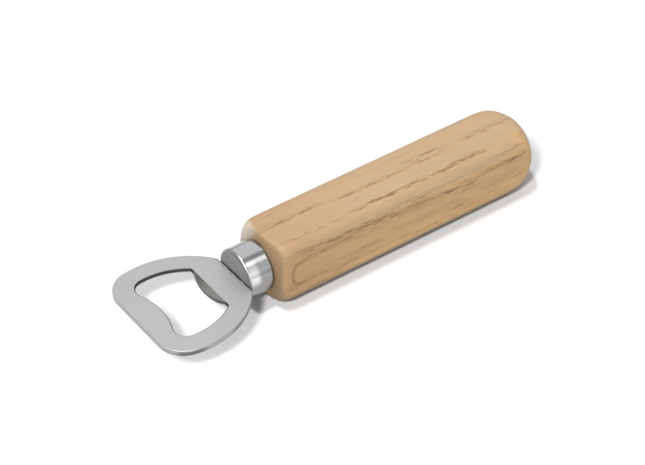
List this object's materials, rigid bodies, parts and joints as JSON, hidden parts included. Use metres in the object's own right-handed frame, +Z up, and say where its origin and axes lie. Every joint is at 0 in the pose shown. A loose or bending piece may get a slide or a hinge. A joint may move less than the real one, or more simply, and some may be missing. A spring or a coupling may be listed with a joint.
{
  "type": "bottle opener",
  "caption": "Flat steel cap-lifting head with a tang glued through a slotted round ferrule into a square-section oak handle with rounded edges and ends.",
  "frame": {"origin": "centre of the bounding box's underside, on the surface that the handle rests on", "axes": "+X from the steel head to the butt of the handle, +Z up, square to the flat faces of the head and of the handle's top; the opener is symmetric about the XZ plane"},
  "size_m": [0.1536, 0.0434, 0.0238],
  "materials": {
    "head_steel": "satin blasted stainless sheet with bright sheared edges",
    "ferrule_steel": "polished turned steel",
    "oak": "sanded light oak with a thin matt oil finish",
    "adhesive": "cured amber epoxy"
  },
  "bodies": {
    "root": {"opener_head": "head_steel", "ferrule": "ferrule_steel", "handle": "oak", "tang_adhesive": "adhesive"}
  },
  "joints": []
}
